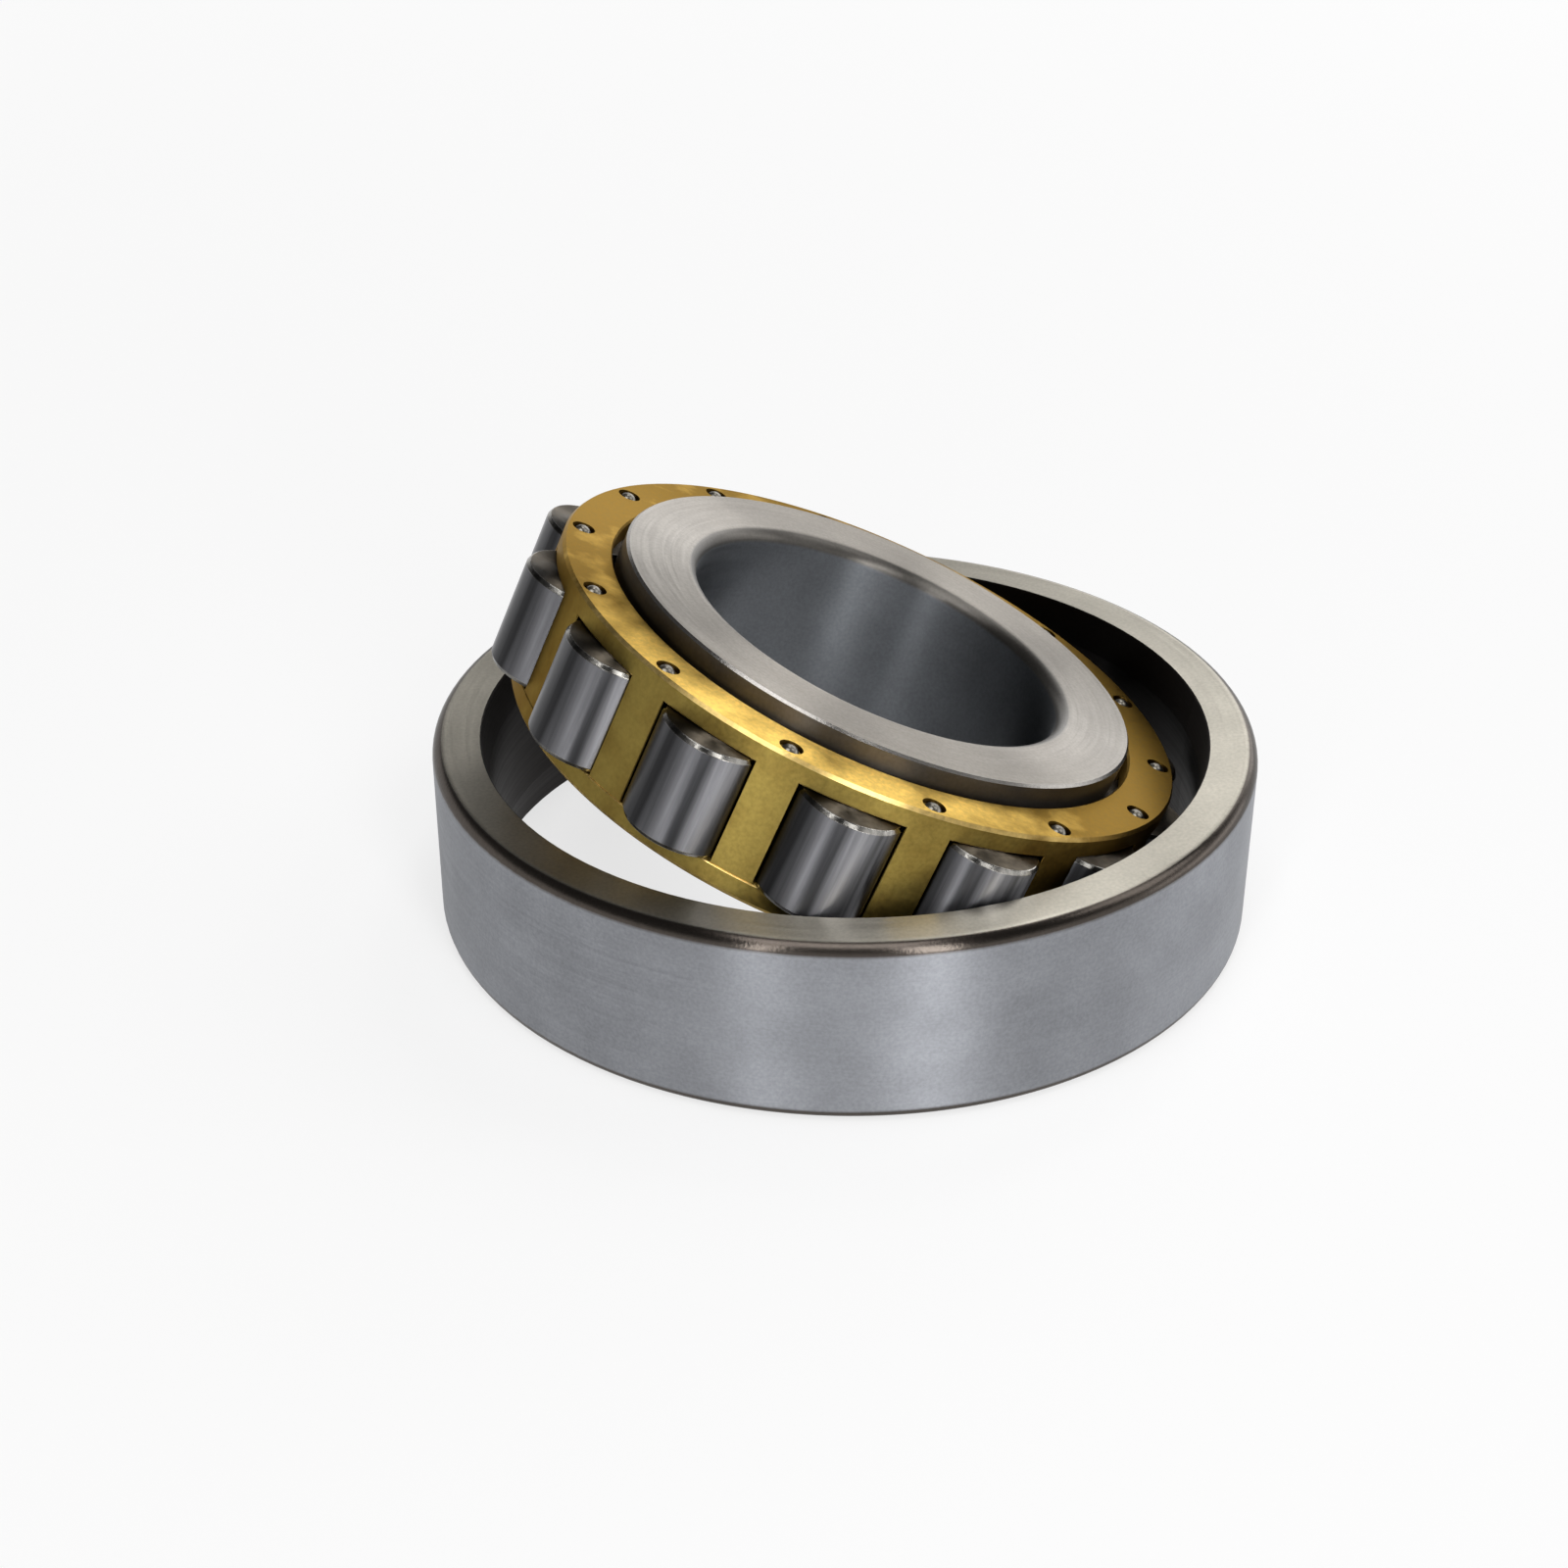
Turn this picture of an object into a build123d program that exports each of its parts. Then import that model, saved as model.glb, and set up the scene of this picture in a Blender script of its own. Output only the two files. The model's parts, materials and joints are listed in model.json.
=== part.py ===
from build123d import *
import os
from math import asin, atan2, degrees, hypot, pi, sqrt

# Separable cylindrical roller bearing, in millimetres, +Z up.
#
# The ribless outer ring lies flat, with the origin at the centre of its lower
# face.  The inner unit (ribbed inner ring, riveted two-part cage, one row of
# rollers) stands loose inside it, leaning towards +X, as it does on a bench
# before the two are brought into line.  "Unit coordinates" below have their
# origin at the middle of the inner ring and +Z along its axis.

# ---- driving dimensions -------------------------------------------------

# Both rings
bore_diameter = 80.0
ring_width = 39.0
ring_corner = 2.8            # rounding of the corners that meet shaft and housing

# Inner ring
inner_ring_wall = 11.5       # bore to raceway
rib_height = 4.1             # ribs over the raceway
rib_edge = 0.5               # chamfer on the ribs' outside corners
rib_inner_edge = 0.4         # chamfer on the ribs' corners towards the rollers
relief_width = 1.0           # grinding relief at each end of the raceway
relief_depth = 0.35

# Rollers
roller_diameter = 22.0
roller_length = 22.0
roller_edge_drop = 0.5       # radial size of the bevel at a roller's ends
roller_edge_length = 0.85    # axial size of the same bevel
roller_edge_round = 0.3      # rounding where the bevel meets the end and the body

# Outer ring
outer_ring_wall = 11.42      # raceway to outside, which makes the outside 170 mm across
lead_in_depth = 8.15         # taper at each side of the plain raceway
lead_in_rise = 1.4
bore_edge = 0.25             # broken edge between taper and side face

# Cage: comb with drilled pockets, closed by a flat cover ring
cage_rib_gap = 1.55          # cage bore over the inner ring's ribs
roller_proud = 5.92          # rollers standing out of the cage's outside
bar_thickness = 4.9          # least brass left between two pockets
cage_side_thickness = 4.35   # each side wall, measured from the pocket's end
cage_edge_drop = 0.5         # radial size of the chamfer on the outside corners
cage_edge_length = 0.75      # axial size of the same chamfer
cage_inner_edge = 0.4
pocket_edge = 0.25           # edges of the pockets' windows, broken with a file
parting_edge = 0.2           # broken edge of comb and cover where they meet outside

# Rivets through the cage bars
rivet_inset = 3.6            # rivet axis in from the cage's outside
rivet_shank_diameter = 2.6
rivet_head_diameter = 3.3
rivet_head_height = 1.35
rivet_head_rim = 0.5         # straight edge of a head, below its dome
rivet_seat_diameter = 4.8    # counterbore that a head sits in
rivet_seat_depth = 1.0

# Fits and clearances
inner_race_gap = 0.02        # rollers over the inner raceway
outer_race_gap = 0.06        # row of rollers inside the outer raceway
rib_gap = 0.1                # roller end to rib face
pocket_gap = 0.35            # roller to the pocket wall
pocket_end_gap = 0.3         # roller end to the pocket's end
rivet_hole_gap = 0.02
bench_gap = 0.5              # lowest edge of the leaning unit over the bench
lean_gap = 0.35              # height kept above the first touch of rollers and raceway

# ---- sizes that follow ---------------------------------------------------

bore_radius = bore_diameter / 2
half_width = ring_width / 2
inner_race_radius = bore_radius + inner_ring_wall
rib_radius = inner_race_radius + rib_height

roller_radius = roller_diameter / 2
roller_half = roller_length / 2
pitch_radius = inner_race_radius + inner_race_gap + roller_radius
row_radius = pitch_radius + roller_radius
outer_race_radius = row_radius + outer_race_gap
outside_radius = outer_race_radius + outer_ring_wall

rib_face = roller_half + rib_gap
pocket_radius = roller_radius + pocket_gap
pocket_end = roller_half + pocket_end_gap
cage_face = pocket_end + cage_side_thickness
cage_inside_radius = rib_radius + cage_rib_gap
cage_outside_radius = row_radius - roller_proud
rivet_circle = cage_outside_radius - rivet_inset
rivet_reach = cage_face - rivet_seat_depth + rivet_head_height

# As many rollers as the bars leave room for: fourteen at these sizes.
roller_count = int(pi / asin((pocket_radius + bar_thickness / 2) / pitch_radius))
roller_step = 360 / roller_count

# The farthest points of the rollers from the unit's centre all lie on one
# sphere.  The unit can turn at any lean without touching the plain raceway
# when that sphere is no wider than the raceway where its taper begins.
corner_reach = hypot(row_radius, roller_half - roller_edge_length)
taper_start = ring_width - lead_in_depth
centre_height = taper_start + sqrt(corner_reach**2 - outer_race_radius**2) + lean_gap


def lean_over(edge_radius, edge_height):
    """Lean in degrees at which a circle of the unit comes down to the bench gap."""
    reach = hypot(edge_radius, edge_height)
    return degrees(asin((centre_height - bench_gap) / reach) - atan2(edge_height, edge_radius))


# The unit leans until the first of its lower edges is down at the bench.
lean = min(
    lean_over(cage_outside_radius - cage_edge_drop, cage_face),
    lean_over(rib_radius - rib_edge, half_width),
    lean_over(row_radius - roller_edge_drop, roller_half),
    lean_over(rivet_circle + rivet_head_diameter / 2, rivet_reach - rivet_head_height + rivet_head_rim),
    lean_over(rivet_circle, rivet_reach),
)
unit_place = Location((0, 0, centre_height), (0, lean, 0))


# ---- helpers ---------------------------------------------------------------

def half_section(points):
    """Half of a turned part's section, from (radius, height) points."""
    return make_face(Polyline(*[(radius, 0, height) for radius, height in points], close=True))


def round_corners(section, corners, radius):
    """Round the chosen (radius, height) corners of a half section."""
    chosen = [section.vertices().sort_by_distance((r, 0, h))[0] for r, h in corners]
    return fillet(chosen, radius)


def turned(section):
    """Solid of revolution about Z."""
    return revolve(section, Axis.Z, 360)


# ---- pieces ----------------------------------------------------------------

def make_outer_ring():
    """Ribless outer ring: straight raceway that opens in a slim taper at both sides."""
    taper_radius = outer_race_radius + lead_in_rise
    face_radius = taper_radius + bore_edge
    section = half_section([
        (outside_radius, 0),
        (outside_radius, ring_width),
        (face_radius, ring_width),
        (taper_radius, ring_width - bore_edge),
        (outer_race_radius, ring_width - lead_in_depth),
        (outer_race_radius, lead_in_depth),
        (taper_radius, bore_edge),
        (face_radius, 0),
    ])
    corners = [(outside_radius, 0), (outside_radius, ring_width)]
    return turned(round_corners(section, corners, ring_corner))


def make_inner_ring():
    """Inner ring: raceway sunk between two ribs, with grinding reliefs at its ends."""
    relief_radius = inner_race_radius - relief_depth
    upper = [
        (inner_race_radius, rib_face - relief_width),
        (relief_radius, rib_face - relief_width + relief_depth),
        (relief_radius, rib_face),
        (rib_radius - rib_inner_edge, rib_face),
        (rib_radius, rib_face + rib_inner_edge),
        (rib_radius, half_width - rib_edge),
        (rib_radius - rib_edge, half_width),
        (bore_radius, half_width),
    ]
    lower = [(radius, -height) for radius, height in reversed(upper)]
    section = half_section(upper + lower)
    corners = [(bore_radius, half_width), (bore_radius, -half_width)]
    return turned(round_corners(section, corners, ring_corner))


def make_roller():
    """One straight roller with bevelled ends and softly rounded edges."""
    flat_radius = roller_radius - roller_edge_drop
    body_half = roller_half - roller_edge_length
    edges = [
        (flat_radius, -roller_half),
        (roller_radius, -body_half),
        (roller_radius, body_half),
        (flat_radius, roller_half),
    ]
    section = half_section([(0, -roller_half)] + edges + [(0, roller_half)])
    return turned(round_corners(section, edges, roller_edge_round))


def rivet_holes(side):
    """Shank holes and head seats of one side of the cage; side is +1 or -1."""
    hole = Cylinder(rivet_shank_diameter / 2 + rivet_hole_gap, 2 * cage_face)
    seat = Pos(0, 0, side * cage_face) * Cylinder(rivet_seat_diameter / 2, 2 * rivet_seat_depth)
    return [spot * (hole + seat) for spot in rivet_spots()]


def rivet_spots():
    """Middle of each bar, half a step on from the rollers."""
    return PolarLocations(rivet_circle, roller_count, start_angle=roller_step / 2)


def make_cage_comb():
    """Comb of the cage: upper side wall and the bars, left standing by drilled pockets."""
    blank = turned(half_section([
        (cage_inside_radius, -pocket_end),
        (cage_outside_radius - parting_edge, -pocket_end),
        (cage_outside_radius, -pocket_end + parting_edge),
        (cage_outside_radius, cage_face - cage_edge_length),
        (cage_outside_radius - cage_edge_drop, cage_face),
        (cage_inside_radius + cage_inner_edge, cage_face),
        (cage_inside_radius, cage_face - cage_inner_edge),
    ]))
    pocket = Cylinder(pocket_radius, 2 * pocket_end)
    pockets = [spot * pocket for spot in PolarLocations(pitch_radius, roller_count)]
    comb = blank - pockets
    return chamfer(window_edges(comb), pocket_edge) - rivet_holes(+1)


def window_edges(comb):
    """Edges round the pockets' windows in the comb's outside, but for the parting plane's."""
    on_outside = [
        edge for edge in comb.edges()
        if all(abs(hypot(v.X, v.Y) - cage_outside_radius) < 1e-4 for v in edge.vertices())
    ]
    sides = [edge for edge in on_outside if abs(edge.center().Z) < pocket_end / 2]
    heads = [
        edge for edge in on_outside
        if edge.geom_type == GeomType.CIRCLE
        and abs(edge.center().Z - pocket_end) < 1e-4
    ]
    return ShapeList(sides + heads)


def make_cage_cover():
    """Flat cover ring that closes the pockets from below."""
    blank = turned(half_section([
        (cage_inside_radius, -pocket_end),
        (cage_outside_radius - parting_edge, -pocket_end),
        (cage_outside_radius, -pocket_end - parting_edge),
        (cage_outside_radius, -cage_face + cage_edge_length),
        (cage_outside_radius - cage_edge_drop, -cage_face),
        (cage_inside_radius + cage_inner_edge, -cage_face),
        (cage_inside_radius, -cage_face + cage_inner_edge),
    ]))
    return blank - rivet_holes(-1)


def make_rivet():
    """Rivet with a low domed head formed at both ends, seated in the counterbores."""
    seat = cage_face - rivet_seat_depth
    head_radius = rivet_head_diameter / 2
    dome_rise = rivet_head_height - rivet_head_rim
    dome_radius = (head_radius**2 + dome_rise**2) / (2 * dome_rise)
    head = Cylinder(head_radius, rivet_head_height, align=(Align.CENTER, Align.CENTER, Align.MIN))
    dome = Pos(0, 0, rivet_head_height - dome_radius) * Sphere(dome_radius)
    upper_head = Pos(0, 0, seat) * (head & dome)
    lower_head = mirror(upper_head, Plane.XY)
    return Cylinder(rivet_shank_diameter / 2, 2 * seat) + [upper_head, lower_head]


# ---- assembly ---------------------------------------------------------------

def build_parts():
    """Every node of the bearing by name, in its place."""
    parts = {
        "outer_ring": make_outer_ring(),
        "inner_ring": unit_place * make_inner_ring(),
        "cage_comb": unit_place * make_cage_comb(),
        "cage_cover": unit_place * make_cage_cover(),
    }
    rivet = make_rivet()
    parts["cage_rivets"] = Compound([unit_place * spot * rivet for spot in rivet_spots()])
    roller = make_roller()
    for number, spot in enumerate(PolarLocations(pitch_radius, roller_count), start=1):
        parts[f"roller_{number:02d}"] = unit_place * spot * roller
    return parts


os.makedirs("parts", exist_ok=True)
for name, shape in build_parts().items():
    export_step(shape, f"parts/{name}.step")
print(f"lean {lean:.4f} degrees, unit centre {centre_height:.4f} mm above the bench")
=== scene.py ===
# %% [markdown]
# # A separable cylindrical roller bearing, dressed for the studio
#
# The bearing is already built to size in CAD: a plain outer ring that lies flat, and an inner unit
# of ribbed ring, brass cage, rivets and rollers that stands in it and leans to one side. Every
# piece is turned, drilled or ground, so its shape is in the solids. What is left for Blender is
# what the eye reads as steel and brass: how each face was cut, how it is worn, what it mirrors.

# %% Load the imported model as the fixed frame
import json
from math import atan2, cos, degrees, pi, radians, sin

import bpy
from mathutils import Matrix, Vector


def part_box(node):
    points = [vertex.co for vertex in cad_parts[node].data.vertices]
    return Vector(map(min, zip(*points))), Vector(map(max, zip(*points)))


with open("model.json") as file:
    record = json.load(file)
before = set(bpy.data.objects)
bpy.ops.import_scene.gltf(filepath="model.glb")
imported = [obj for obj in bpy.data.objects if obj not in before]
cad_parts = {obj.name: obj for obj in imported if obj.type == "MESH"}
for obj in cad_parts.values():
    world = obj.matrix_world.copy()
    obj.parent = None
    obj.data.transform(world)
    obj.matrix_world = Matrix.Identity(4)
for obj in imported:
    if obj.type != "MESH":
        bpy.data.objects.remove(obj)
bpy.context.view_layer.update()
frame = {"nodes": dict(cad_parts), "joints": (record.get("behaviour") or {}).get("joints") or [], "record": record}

# %% [markdown]
# ## Sizes read from the frame
#
# Tool marks run round the axis of the piece that they are on. The outer ring's axis is the
# frame's own Z axis. The inner unit leans, and its axis and middle are those of the joint that
# turns the cage. The rings' seats give their radii, and what a seat lacks of the ring's width is
# taken up by its two rounded corners. All of it is read from the frame, so that no size is
# written a second time here.

# %% Axis, middle and radii of the rings
MM = 0.001
joints = {joint["name"]: joint for joint in frame["joints"]}
seats = {mount["name"]: mount["dims"] for mount in frame["record"]["mounts"]}
unit_middle = Vector(joints["cage_turn"]["pos_m"])
unit_axis = Vector(joints["cage_turn"]["axis"]).normalized()
unit_lean = atan2(unit_axis.x, unit_axis.z)
outer_low, outer_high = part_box("outer_ring")
outer_middle = (outer_low + outer_high) / 2
outside_radius = seats["outer_ring_seat"]["r_mm"]
bore_radius = seats["shaft_bore"]["r_mm"]
ring_half_width = (outer_high.z - outer_low.z) / 2 / MM
ring_corner = ring_half_width - seats["shaft_bore"]["length_mm"] / 2
print("the unit leans", round(degrees(unit_lean), 2), "degrees; the rings' corners are",
      round(ring_corner, 2), "mm")

# %% [markdown]
# ## Colours and nodes
#
# Colours are picked as sRGB hex values, as on a paint chart, but a shader works in linear light.
# One function converts them. A second one adds a node with its settings and its inputs, where an
# input is either a plain value or the output of an earlier node. All materials are made with it,
# and the short functions after it give the few nodes that come up again and again.

# %% Helpers
MIX_SOCKETS = {"FLOAT": (2, 3, 0), "VECTOR": (4, 5, 1), "RGBA": (6, 7, 2)}  # two inputs, one output


def linear(hex_colour):
    """Linear RGBA of an sRGB hex colour."""
    channels = [int(hex_colour[i:i + 2], 16) / 255 for i in (1, 3, 5)]
    return [c / 12.92 if c <= 0.04045 else ((c + 0.055) / 1.055) ** 2.4 for c in channels] + [1.0]


def add_node(tree, kind, settings=None, inputs=None):
    """Add one shader node; inputs are values, or outputs of other nodes to link."""
    node = tree.nodes.new("ShaderNode" + kind)
    for name, value in (settings or {}).items():
        setattr(node, name, value)
    for name, value in (inputs or {}).items():
        if isinstance(value, bpy.types.NodeSocket):
            tree.links.new(value, node.inputs[name])
        else:
            node.inputs[name].default_value = value
    return node


def maths(tree, operation, *values):
    """Result of one sum on numbers."""
    return add_node(tree, "Math", {"operation": operation}, dict(enumerate(values))).outputs[0]


def vectors(tree, operation, *values):
    """Result of one sum on vectors; a length and a dot product come out as a number."""
    node = add_node(tree, "VectorMath", {"operation": operation}, dict(enumerate(values)))
    return node.outputs["Value" if operation in ("LENGTH", "DOT_PRODUCT") else "Vector"]


def scaled(tree, vector, factor):
    """A vector made longer or shorter."""
    return add_node(tree, "VectorMath", {"operation": "SCALE"}, {0: vector, "Scale": factor}).outputs[0]


def part_of(tree, vector, letter):
    """The X, Y or Z part of a vector."""
    return add_node(tree, "SeparateXYZ", None, {0: vector}).outputs[letter]


def remap(tree, value, from_low, from_high, to_low=0.0, to_high=1.0):
    """A number carried from one range to another and held at its ends."""
    ends = {1: from_low, 2: from_high, 3: to_low, 4: to_high}
    return add_node(tree, "MapRange", None, {0: value, **ends}).outputs[0]


def mixed(tree, kind, share, first, second):
    """First where share is 0, second where it is 1; kind is FLOAT, VECTOR or RGBA."""
    one, two, out = MIX_SOCKETS[kind]
    return add_node(tree, "Mix", {"data_type": kind}, {0: share, one: first, two: second}).outputs[out]


def noise(tree, place, cell, detail):
    """Noise from 0 to 1 whose clouds are about one cell across, in the units of place."""
    settings = {"Vector": place, "Scale": 1 / cell, "Detail": detail}
    return add_node(tree, "TexNoise", None, settings).outputs[0]


def new_material(name):
    """An empty node material, its tree and its output node."""
    material = bpy.data.materials.new(name)
    material.use_nodes = True
    material.node_tree.nodes.clear()
    return material, material.node_tree, material.node_tree.nodes.new("ShaderNodeOutputMaterial")


print("mid grey in linear light:", round(linear("#808080")[0], 3))

# %% [markdown]
# ## Coordinates of a lathe
#
# Every finish on a bearing was made by something that turned, so its marks are circles round an
# axis. It is easiest to draw them in a lathe's own coordinates: the distance from the axis, the
# height along it, and the direction round it. The same nodes also give the direction in which
# the marks run, which stretches the reflections as real tool marks do.
#
# The rings and the cage take them from Object coordinates. Each roller has an axis of its own, so
# the rollers take them from Generated coordinates, which run from 0 to 1 over a piece's own box.

# %% Radius, height and direction round an axis
def leaned(tree, vector, lean, back=False):
    """A vector tipped over with the unit, or set back upright."""
    settings = {"rotation_type": "Y_AXIS", "invert": back}
    return add_node(tree, "VectorRotate", settings, {"Vector": vector, "Angle": lean}).outputs[0]


def to_world(tree, kind, vector):
    """A VECTOR or a NORMAL carried from the piece's own coordinates to the world's."""
    settings = {"vector_type": kind, "convert_from": "OBJECT", "convert_to": "WORLD"}
    return add_node(tree, "VectorTransform", settings, {0: vector}).outputs[0]


def lathe_coordinates(tree, middle=(0, 0, 0), lean=0.0, own_box=None):
    """Place, radius and height in mm, direction round, levelness, and the way that marks run."""
    place = add_node(tree, "TexCoord")
    if own_box is None:
        at = vectors(tree, "SUBTRACT", place.outputs["Object"], middle)
    else:
        centred = vectors(tree, "SUBTRACT", place.outputs["Generated"], (0.5, 0.5, 0.5))
        at = vectors(tree, "MULTIPLY", centred, own_box)
    in_mm = scaled(tree, leaned(tree, at, lean, back=True), 1 / MM)
    across = vectors(tree, "MULTIPLY", in_mm, (1, 1, 0))
    facing = leaned(tree, place.outputs["Normal"], lean, back=True)
    marks = vectors(tree, "CROSS_PRODUCT", (sin(lean), 0, cos(lean)), at)
    return {
        "at": in_mm,
        "radius": vectors(tree, "LENGTH", across),
        "height": part_of(tree, in_mm, "Z"),
        "around": vectors(tree, "NORMALIZE", across),
        "level": maths(tree, "ABSOLUTE", part_of(tree, facing, "Z")),
        "marks": to_world(tree, "VECTOR", marks),
    }


def tool_marks(tree, lathe, spacing_mm, length_share):
    """Noise drawn out into arcs round the axis, about spacing_mm apart; 0 to 1."""
    turn = scaled(tree, lathe["around"], 1 / length_share)
    step = maths(tree, "ADD", lathe["radius"], lathe["height"])
    lift = add_node(tree, "CombineXYZ", None, {"Z": maths(tree, "DIVIDE", step, spacing_mm)})
    return noise(tree, vectors(tree, "ADD", turn, lift.outputs[0]), cell=1.0, detail=2.0)


print("tool marks are drawn in millimetres round each piece's own axis")

# %% [markdown]
# ## Corners that shade as rounds
#
# The rings' corners are true quarter rounds, but a mesh has only so many facets there, and polished
# steel shows each of them as a ragged edge in its reflections. The round is simple enough to state
# in numbers, so the direction that each point of it faces is worked out from where the point lies:
# outwards by its way past the round's centre, and along the axis by its height over that centre.

# %% Exact facing of a ring's rounded side
NEVER_ZERO = 0.001  # mm; keeps a direction from having no length


def round_facing(tree, lathe, lean, side, round_radius, limit):
    """Facing and levelness of a ring with rounded corners, exact on one side of a limit radius.

    The side is 1 for a ring rounded on its outside and -1 for one rounded at its bore; radii in mm.
    """
    reach = maths(tree, "MULTIPLY_ADD", lathe["radius"], side, ring_corner - side * round_radius)
    outwards = maths(tree, "MULTIPLY", maths(tree, "MAXIMUM", reach, 0.0), side)
    above = maths(tree, "ABSOLUTE", lathe["height"])
    rise = maths(tree, "SUBTRACT", above, ring_half_width - ring_corner)
    up_or_down = maths(tree, "SIGN", lathe["height"])
    rise = maths(tree, "MULTIPLY", maths(tree, "MAXIMUM", rise, NEVER_ZERO), up_or_down)
    radial = scaled(tree, lathe["around"], outwards)
    axial = add_node(tree, "CombineXYZ", None, {"Z": rise}).outputs[0]
    facing = vectors(tree, "NORMALIZE", vectors(tree, "ADD", radial, axial))
    exact_normal = to_world(tree, "NORMAL", leaned(tree, facing, lean))
    exact_level = maths(tree, "ABSOLUTE", part_of(tree, facing, "Z"))
    past = maths(tree, "MULTIPLY_ADD", lathe["radius"], side, -side * limit)
    is_round = maths(tree, "GREATER_THAN", past, 0.0)
    of_mesh = add_node(tree, "NewGeometry").outputs["Normal"]
    normal = mixed(tree, "VECTOR", is_round, of_mesh, exact_normal)
    return normal, mixed(tree, "FLOAT", is_round, lathe["level"], exact_level)


print("ring corners face where their true round faces")

# %% [markdown]
# ## One turned piece, four kinds of face
#
# On a ring, a roller or a cage, the side faces lie square to the axis, the round faces run along
# it, and the corners are somewhere in between. Each kind was cut in its own way and wears in its
# own way, and on the rings some of them are also painted darker as painted shade. A ramp over how
# level a face lies tells them apart, and its alpha carries the roughness beside the colour. Round
# faces split once more, by radius, into the bore and the outside.

# %% A finish that changes from face to face
ROUND_UP_TO = 0.06  # levelness, 0 on a round face and 1 on a side face
EDGE_FROM = 0.3
EDGE_UP_TO = 0.93
SIDE_FROM = 0.99
NOISE_LOW = 0.3  # most of a noise lies between these two
NOISE_HIGH = 0.7
NICK_SPACING = 0.6  # mm
NICK_DEPTH = 0.02  # mm


def face_ramp(tree, lathe, round_face, edge, side):
    """Colour, with the roughness as its alpha, from a round face over the edge to a side face."""
    ramp = add_node(tree, "ValToRGB", None, {0: lathe["level"]})
    stops = [(0.0, round_face), (ROUND_UP_TO, round_face), (EDGE_FROM, edge), (EDGE_UP_TO, edge),
             (SIDE_FROM, side)]
    for position, (colour, roughness) in stops:
        stop = ramp.color_ramp.elements.new(position)
        stop.color = linear(colour)[:3] + [roughness]
    ramp.color_ramp.elements.remove(ramp.color_ramp.elements[0])
    ramp.color_ramp.elements.remove(ramp.color_ramp.elements[-1])
    return ramp.outputs


def finish_by_face(tree, lathe, side, inside, inner_edge, outside, outer_edge, split_radius):
    """Colour and roughness from (colour, roughness) pairs; split_radius is in mm."""
    within = face_ramp(tree, lathe, inside, inner_edge, side)
    without = face_ramp(tree, lathe, outside, outer_edge, side)
    is_outside = maths(tree, "GREATER_THAN", lathe["radius"], split_radius)
    colour = mixed(tree, "RGBA", is_outside, within[0], without[0])
    return colour, mixed(tree, "FLOAT", is_outside, within[1], without[1])


def varied(tree, value, pattern, low, high):
    """A colour or a number, scaled between low and high by a pattern that runs from 0 to 1."""
    share = remap(tree, pattern, NOISE_LOW, NOISE_HIGH, low, high)
    if value.type in ("RGBA", "VECTOR"):
        return scaled(tree, value, share)
    return maths(tree, "MULTIPLY", value, share)


def edge_nicks(tree, lathe, **more):
    """Normals of small nicks on the edges alone, where a ring or a roller gets knocked."""
    nicks = noise(tree, lathe["at"], NICK_SPACING, 3.0)
    off_round = remap(tree, lathe["level"], 0.1, 0.4)
    off_side = remap(tree, lathe["level"], 0.99, 0.9)
    on_edge = maths(tree, "MULTIPLY", nicks, maths(tree, "MULTIPLY", off_round, off_side))
    return add_node(tree, "Bump", None, {
        "Strength": 1.0, "Distance": NICK_DEPTH * MM, "Height": on_edge, **more}).outputs[0]


def metal(tree, output, colour, roughness, stretch, lathe, normal, tint=(1.0, 1.0, 1.0, 1.0)):
    """Bare metal whose reflections are stretched along its tool marks; tint is for glancing light."""
    shader = add_node(tree, "BsdfPrincipled", None, {
        "Base Color": colour, "Metallic": 1.0, "Specular Tint": tint, "Roughness": roughness,
        "Anisotropic": stretch, "Anisotropic Rotation": 0.25, "Tangent": lathe["marks"],
        "Normal": normal})
    tree.links.new(shader.outputs[0], output.inputs["Surface"])


print("side faces, edges, bores and outsides each get a colour and a roughness")

# %% [markdown]
# ## Ground bearing steel
#
# The rings are through-hardened chrome bearing steel. Their side faces are ground flat and keep
# fine arcs round the axis, and a thin film of oil warms them. Their round faces are ground between
# wheels, which leaves hair-fine rings: they spread every reflection along the axis into soft upright
# bands. Steel has no colour of its own but grey; the outer ring's raceway and rounded outer corner,
# and the inner ring's bore corner and rib outsides, are painted darker as painted shade. Real
# grinding marks are finer than a tenth of a millimetre and would only flicker, so they are drawn
# coarser here.

# %% The rings' steel
GRINDING_MARKS = 0.35  # mm apart
CLOUDS = 14  # mm across, where the oil film is thicker
GRAIN = 0.7  # mm across
OUTER_RING_EXACT_FROM = 75.4  # mm; from here outwards lie its side faces, corners and outside
INNER_RING_EXACT_TO = 55.0  # mm; inwards lie side faces, corners and bore, and the hidden raceway


def ground_steel(name, lathe_settings, faces, stretch=0.9, rounded=None, glancing=1.0):
    """Ground bearing steel for a ring or rivet; glancing below 1 dulls it where seen edge-on."""
    material, tree, output = new_material(name)
    lathe = lathe_coordinates(tree, **lathe_settings)
    normal = add_node(tree, "NewGeometry").outputs["Normal"]
    if rounded is not None:
        normal, lathe["level"] = round_facing(tree, lathe, lathe_settings.get("lean", 0.0), **rounded)
    colour, roughness = finish_by_face(tree, lathe, **faces)
    marks = tool_marks(tree, lathe, GRINDING_MARKS, 0.4)
    clouds = noise(tree, lathe["at"], CLOUDS, 3.0)
    grain = noise(tree, lathe["at"], GRAIN, 2.0)
    colour = varied(tree, varied(tree, colour, clouds, 0.90, 1.08), grain, 0.90, 1.06)
    bump = add_node(tree, "Bump", None, {
        "Strength": 0.15, "Distance": 0.003 * MM, "Height": marks,
        "Normal": edge_nicks(tree, lathe, Normal=normal)})
    metal(tree, output, colour, varied(tree, roughness, marks, 0.9, 1.1), stretch, lathe,
          bump.outputs[0], tint=(glancing, glancing, glancing, 1.0))
    return material


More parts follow.
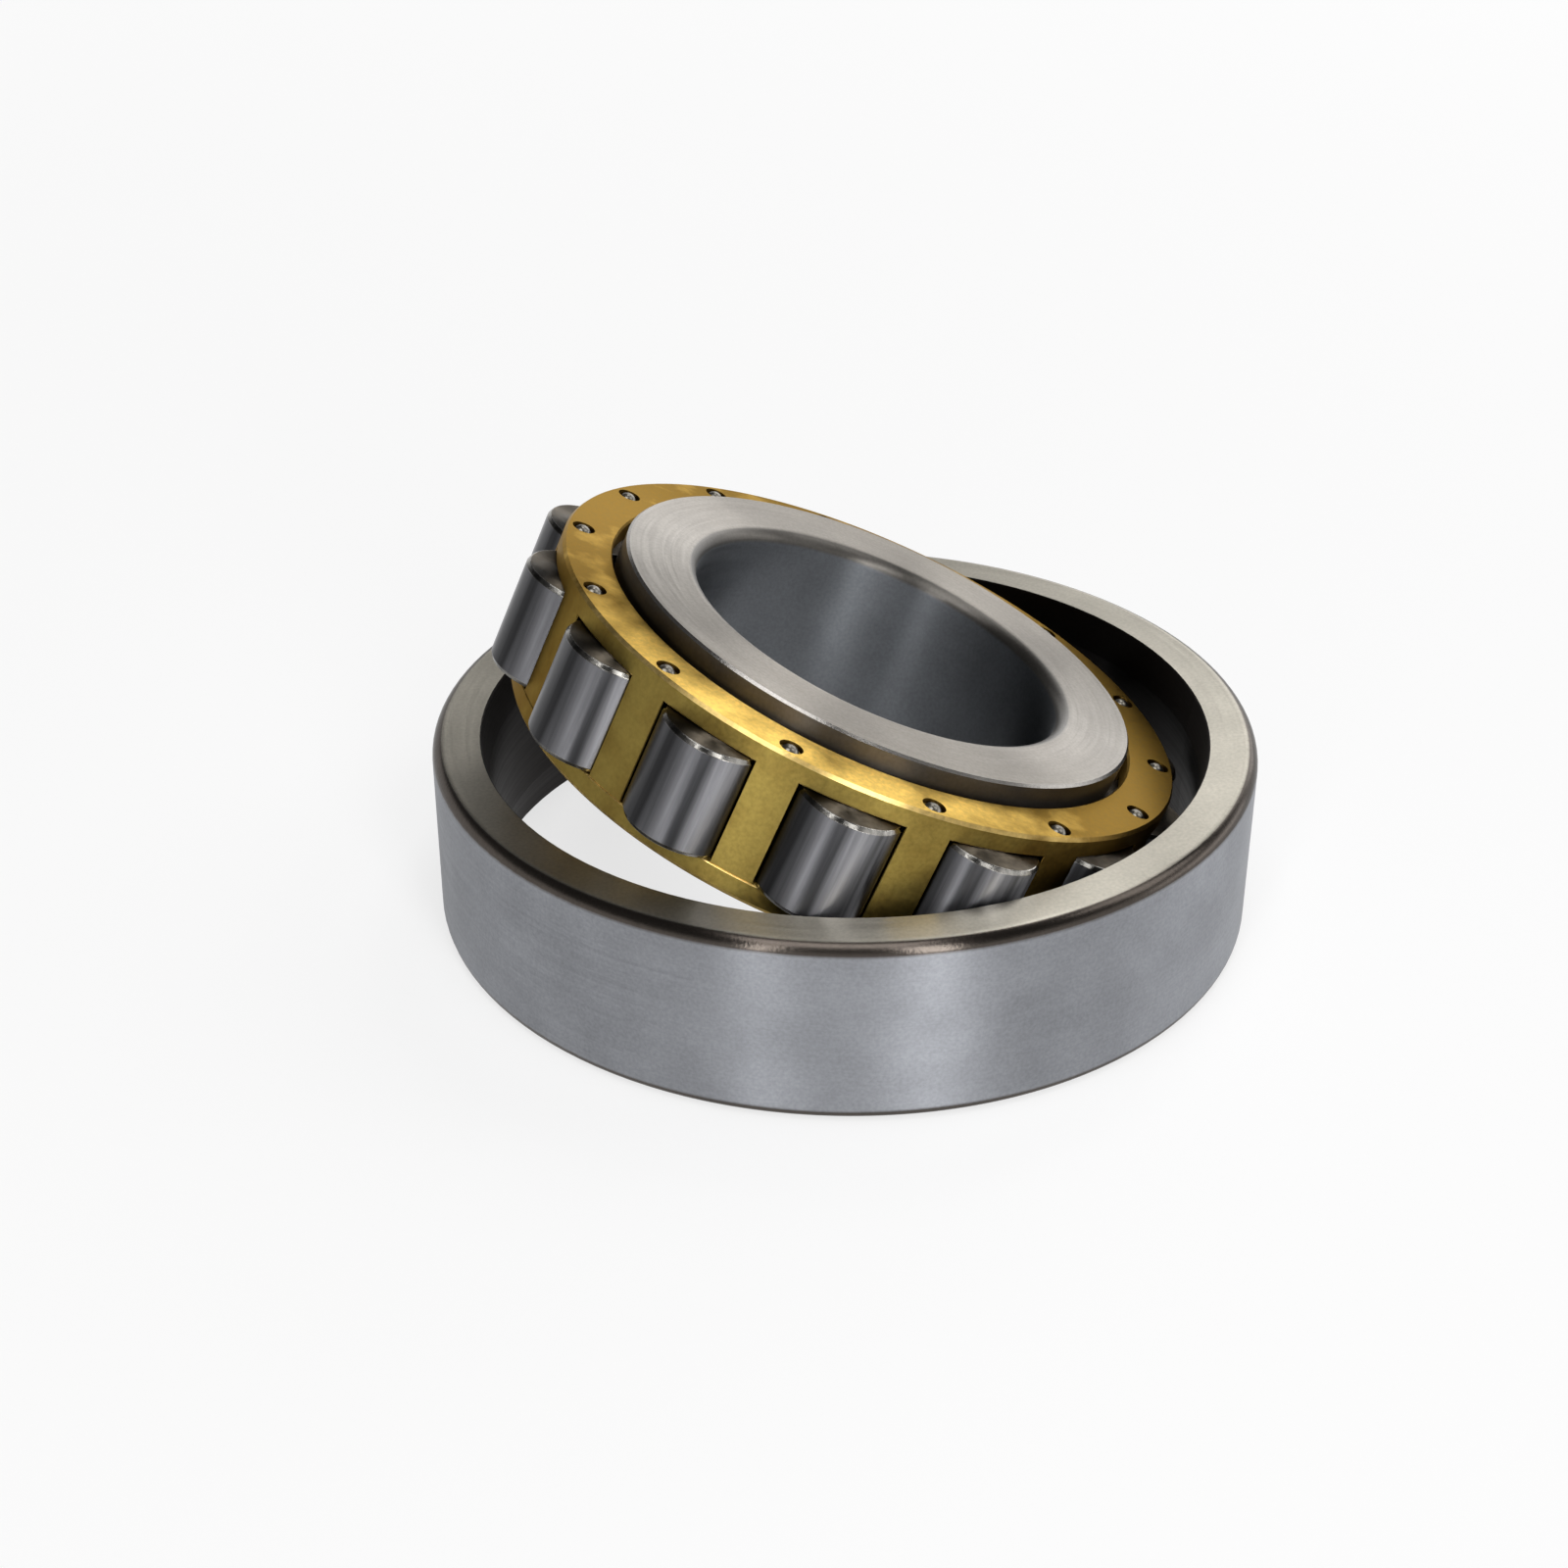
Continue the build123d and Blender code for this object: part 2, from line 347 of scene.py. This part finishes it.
unit_lathe = {"middle": unit_middle, "lean": unit_lean}
outer_faces_with_painted_shade = {
    "side": ("#b6b1a5", 0.34),
    # painted shade: the raceway is painted near black and the rounded outer corner dark, standing in for the shade
    # and the dim room that they mirror
    "inside": ("#262322", 0.42), "inner_edge": ("#262322", 0.42),
    "outside": ("#999ba0", 0.46), "outer_edge": ("#4f4944", 0.22), "split_radius": 77}
inner_faces_with_painted_shade = {
    "side": ("#918c85", 0.44),
    # painted shade: the bore's rounded corner and the ribs' outside are painted darker than the side faces
    "inside": ("#707377", 0.40), "inner_edge": ("#605d59", 0.36),
    "outside": ("#56524d", 0.32), "outer_edge": ("#8f8c88", 0.24), "split_radius": 47}
rivet_faces = {
    "side": ("#7a766e", 0.30),
    "inside": ("#4a4743", 0.40), "inner_edge": ("#7a766e", 0.30),
    "outside": ("#4a4743", 0.40), "outer_edge": ("#7a766e", 0.30), "split_radius": 60}
outer_steel = ground_steel(
    "ground_bearing_steel_outer", {"middle": outer_middle}, outer_faces_with_painted_shade, glancing=0.75,
    rounded={"side": 1, "round_radius": outside_radius, "limit": OUTER_RING_EXACT_FROM})
inner_steel = ground_steel(
    "ground_bearing_steel_inner", unit_lathe, inner_faces_with_painted_shade,
    rounded={"side": -1, "round_radius": bore_radius, "limit": INNER_RING_EXACT_TO})
rivet_steel = ground_steel("cold_formed_rivet_steel", unit_lathe, rivet_faces, stretch=0.0)
print("ground steels:", outer_steel.name, inner_steel.name, rivet_steel.name)

# %% [markdown]
# ## Superfinished rollers
#
# A roller's body is superfinished to a near mirror, darker than a ground ring. Preserving oil dries
# on it in thin stripes along the axis, and broader bands along the axis, alike on every roller, are
# painted lighter and darker as painted light and shade. Its ends are ground, rougher and warmer, and
# the bevels between them are bright where they have rubbed in the pockets.

# %% The rollers' steel
STRIPES_AND_PAINTED_LIGHT_START = 1.7  # which part of the noise the stripes and the painted light and shade are cut from
STRIPE_WIDTH = 1.2  # mm
PAINTED_BAND_WIDTH = 7  # mm
ALONG_THE_AXIS = (1, 1, 0.04)  # draws a noise out along Z


def roller_finish(name):
    """Dark, almost mirror-bright roller steel with stripes of dried oil along the axis, under broad painted light
    and shade.
    """
    material, tree, output = new_material(name)
    roller_low, roller_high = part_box("roller_01")
    lathe = lathe_coordinates(tree, lean=unit_lean, own_box=roller_high - roller_low)
    body = ("#6a6a6d", 0.38)
    bevel = ("#72706c", 0.20)
    colour, roughness = finish_by_face(
        tree, lathe, side=("#544e45", 0.58), inside=body, inner_edge=bevel, outside=body,
        outer_edge=bevel, split_radius=5)
    stretched = vectors(tree, "MULTIPLY_ADD", lathe["at"], ALONG_THE_AXIS, (0, 0, STRIPES_AND_PAINTED_LIGHT_START))
    stripes = noise(tree, stretched, STRIPE_WIDTH, 2.0)
    painted_light_bands = noise(tree, stretched, PAINTED_BAND_WIDTH, 1.0)
    # painted light and shade: broad bands, alike on every roller, scale the colour from a quarter to almost three
    # times
    colour = varied(tree, varied(tree, colour, painted_light_bands, 0.25, 2.9), stripes, 0.7, 1.3)
    metal(tree, output, colour, varied(tree, roughness, stripes, 0.85, 1.15), 0.95, lathe,
          edge_nicks(tree, lathe))
    return material


roller_steel = roller_finish("superfinished_roller_steel")
print("roller steel:", roller_steel.name)

# %% [markdown]
# ## Machined brass
#
# The cage is turned from cast brass and its pockets are drilled and bored. Fresh brass is yellow
# and bright; in use it dulls to olive and brown, first where oil and fingers stay on it. Its
# front-left side is painted brighter, as painted light, and the corners of the pockets are painted
# darker, as painted shade.

# %% The cage's brass
PAINTED_LIGHT_TOWARDS = Vector((-0.5, -0.87, 0.0)).normalized()  # the side painted brighter, as painted light, by laying less tarnish there
TURNING_MARKS = 0.5  # mm apart
PATCHES = 9  # mm across
SPECKS = 0.9  # mm across
PAINTED_SHADE_REACH = 1.6  # mm; how far from a corner the painted shade reaches
TARNISH = "#6d5424"
GLANCING_BRASS = "#f3e1c4"


def turned_brass(name):
    """Turned cage brass: golden sides, olive bars, bright edges, tarnished patches, painted light and shade."""
    material, tree, output = new_material(name)
    lathe = lathe_coordinates(tree, **unit_lathe)
    edge = ("#f2d285", 0.32)
    colour, roughness = finish_by_face(
        tree, lathe, side=("#efca6e", 0.44), inside=("#6b5429", 0.50), inner_edge=edge,
        outside=("#9a8646", 0.45), outer_edge=edge, split_radius=67.3)
    marks = tool_marks(tree, lathe, TURNING_MARKS, 0.3)
    patches = noise(tree, lathe["at"], PATCHES, 5.0)
    specks = noise(tree, lathe["at"], SPECKS, 4.0)
    oiled = remap(tree, part_of(tree, lathe["around"], "X"), 0.55, 0.98, 0.0, 0.24)
    # painted light: less tarnish towards the front-left side, so that side reads brighter as if lit
    toward_painted_light = vectors(tree, "DOT_PRODUCT", lathe["around"], PAINTED_LIGHT_TOWARDS)
    away_from_painted_light = remap(tree, toward_painted_light, 0.92, 0.55, -0.07, 0.38)
    patches_and_painted_light = maths(tree, "ADD", maths(tree, "ADD", patches, oiled), away_from_painted_light)
    tarnish_and_painted_light = remap(tree, patches_and_painted_light, 0.38, 0.84, 0.0, 0.92)
    dulled_with_painted_light_and_shade = mixed(tree, "RGBA", tarnish_and_painted_light, colour, linear(TARNISH))
    # painted shade: the brass is darkened where the ambient occlusion node finds a nearby corner
    painted_corner_shade = add_node(tree, "AmbientOcclusion", {"samples": 8, "only_local": True},
                    {"Distance": PAINTED_SHADE_REACH * MM})
    dulled_with_painted_light_and_shade = scaled(tree, dulled_with_painted_light_and_shade, remap(tree, painted_corner_shade.outputs["AO"], 0.45, 0.95, 0.25, 1.0))
    bump = add_node(tree, "Bump", None, {"Strength": 0.3, "Distance": 0.005 * MM, "Height": marks})
    metal(tree, output, varied(tree, dulled_with_painted_light_and_shade, specks, 0.8, 1.12),
          varied(tree, roughness, specks, 0.9, 1.1), 0.9, lathe, bump.outputs[0],
          tint=linear(GLANCING_BRASS))
    return material


cage_brass = turned_brass("turned_cage_brass")
print("cage brass:", cage_brass.name)

# %% [markdown]
# ## Finishes on their pieces
#
# Every piece of the frame keeps its shape and its place. It only gets one of the five metals in
# its material slot.

# %% Put each finish on its pieces
def finish_of(node_name):
    """The material for a CAD node, by its name."""
    if node_name.startswith("roller"):
        return roller_steel
    return {
        "outer_ring": outer_steel,
        "inner_ring": inner_steel,
        "cage_comb": cage_brass,
        "cage_cover": cage_brass,
        "cage_rivets": rivet_steel,
    }[node_name]


for node_name, piece in frame["nodes"].items():
    piece.data.materials.clear()
    piece.data.materials.append(finish_of(node_name))
print(len(frame["nodes"]), "pieces have their finish")

# %% [markdown]
# ## Camera
#
# The bearing is seen from a little above, thirty degrees over the horizon, and from eight degrees
# left of its front, through a lens that is a bit longer than normal, as a small product is
# shown on a table.

# %% Camera
CAMERA_PLACE = (-79.56, -464.44, 295.87)  # mm
CAMERA_TURN = (59.98, -0.13, -8.13)  # degrees about X, Y and Z; all zero looks straight down
LENS = 59.38  # mm, on a sensor 36 mm wide

camera = bpy.data.objects.new("camera", bpy.data.cameras.new("camera"))
camera.data.sensor_width = 36.0
camera.data.lens = LENS
camera.data.clip_start = 0.01
camera.data.clip_end = 100.0
camera.location = Vector(CAMERA_PLACE) * MM
camera.rotation_euler = [radians(angle) for angle in CAMERA_TURN]
bpy.context.scene.collection.objects.link(camera)
bpy.context.scene.camera = camera
print("camera at", [round(x, 3) for x in camera.location])

# %% [markdown]
# ## Floor and light
#
# Polished steel shows the room more than itself. The floor and the lower part of the wall are
# white to whoever looks at them, straight or in a mirror, and that white is what most of the metal
# shows. They light nothing by it, and the floor keeps the bearing's shadow. The room above is a
# dim grey, which is what makes the corners and the bores read dark.
#
# Seven softboxes do the lighting. A large one behind lights the faces that lean to it, and a low
# one at the right rounds off the rings' outsides. One overhead and two high ones, at the right and
# behind, light the side faces and draw thin bright lines on the chamfers. Two tall narrow strips
# in front give the outside of the outer ring and the rollers their upright bright bands.

# %% Floor, room and lamps
WALL_TOP = 15  # degrees over the horizon, up to which the wall is white
WALL_FADE = 12  # degrees in which it turns grey above that
ROOM_GREY = "#5c5c5c"
WHITE = "#ffffff"
FLOOR_PAINT = "#f6f6f6"
FLOOR_RADIUS = 6.0  # m
FLOOR_GLOW = 0.72  # share of the floor's white, near the bearing, that no shadow takes away
GLOW_FROM = 0.25  # m from the middle, where that share begins to rise
GLOW_FULL = 1.5  # m from the middle, where the floor is plain white
LAMP_AIM = Vector((0, 0, 0.03))  # m, the middle of the bearing


def seen_ray(tree):
    """1 for rays that show the room itself, straight, mirrored or through glass; 0 for the rest."""
    ray = add_node(tree, "LightPath")
    seen = maths(tree, "MAXIMUM", ray.outputs["Is Camera Ray"], ray.outputs["Is Glossy Ray"])
    return maths(tree, "MAXIMUM", seen, ray.outputs["Is Transmission Ray"])


def dim_room():
    """A dim grey room whose wall is white near the horizon and fades out above it."""
    world = bpy.data.worlds.new("dim_room")
    world.use_nodes = True
    tree = world.node_tree
    tree.nodes.clear()
    height = part_of(tree, add_node(tree, "TexCoord").outputs["Generated"], "Z")
    wall_end = sin(radians(WALL_TOP))
    fade_end = sin(radians(WALL_TOP + WALL_FADE))
    low = add_node(tree, "MapRange", {"interpolation_type": "SMOOTHSTEP"},
                   {0: height, 1: wall_end, 2: fade_end, 3: 1.0, 4: 0.0})
    wall = maths(tree, "MULTIPLY", low.outputs[0], seen_ray(tree))
    colour = mixed(tree, "RGBA", wall, linear(ROOM_GREY), linear(WHITE))
    background = add_node(tree, "Background", None, {"Color": colour, "Strength": 1.0})
    output = tree.nodes.new("ShaderNodeOutputWorld")
    tree.links.new(background.outputs[0], output.inputs["Surface"])
    return world


def plain_floor():
    """A broad round table top under the bearing."""
    bpy.ops.mesh.primitive_circle_add(
        vertices=96, radius=FLOOR_RADIUS, fill_type="NGON", location=(0, 0, 0))
    floor = bpy.context.object
    floor.name = "studio_floor"
    material, tree, output = new_material("white_table_paint")
    paint = add_node(tree, "BsdfDiffuse", None, {"Color": linear(FLOOR_PAINT)})
    glow = add_node(tree, "Emission", None, {"Color": linear(WHITE), "Strength": 1.0})
    reach = vectors(tree, "LENGTH", add_node(tree, "TexCoord").outputs["Object"])
    whiter = remap(tree, reach, GLOW_FROM, GLOW_FULL, FLOOR_GLOW, 1.0)
    share = maths(tree, "MULTIPLY", seen_ray(tree), whiter)
    shader = add_node(tree, "MixShader", None, {0: share, 1: paint.outputs[0], 2: glow.outputs[0]})
    tree.links.new(shader.outputs[0], output.inputs["Surface"])
    floor.data.materials.append(material)
    return floor


def softbox(name, azimuth, elevation, distance, width, height, radiance):
    """A rectangular lamp; azimuth 0 is behind the bearing and 90 on its right, both in degrees."""
    a, e = radians(azimuth), radians(elevation)
    lamp = bpy.data.objects.new(name, bpy.data.lights.new(name, "AREA"))
    lamp.data.shape = "RECTANGLE"
    lamp.data.size = width
    lamp.data.size_y = height
    lamp.data.energy = radiance * width * height * pi
    lamp.location = LAMP_AIM + distance * Vector((sin(a) * cos(e), cos(a) * cos(e), sin(e)))
    lamp.rotation_euler = (LAMP_AIM - lamp.location).to_track_quat("-Z", "Y").to_euler()
    lamp.visible_camera = False
    bpy.context.scene.collection.objects.link(lamp)
    return lamp


plain_floor()
lamps = [  # azimuth, elevation, distance, width, height, radiance
    softbox("back_softbox", 33, 22, 2.0, 1.35, 1.1, 1.7),
    softbox("top_softbox", -165, 76, 3.2, 1.7, 1.7, 4.0),
    softbox("high_right_softbox", 85, 44, 2.2, 1.0, 1.0, 2.4),
    softbox("high_back_softbox", 33, 54, 2.2, 0.55, 0.7, 4.0),
    softbox("left_strip", -150, 28, 1.8, 0.16, 1.5, 8.0),
    softbox("right_strip", 166, 28, 1.8, 0.34, 1.5, 8.0),
    softbox("right_softbox", 85, 8, 2.0, 1.6, 0.4, 1.8),
]
bpy.context.scene.world = dim_room()
bpy.context.scene.view_settings.view_transform = "Standard"
print("lamps:", ", ".join(lamp.name for lamp in lamps))
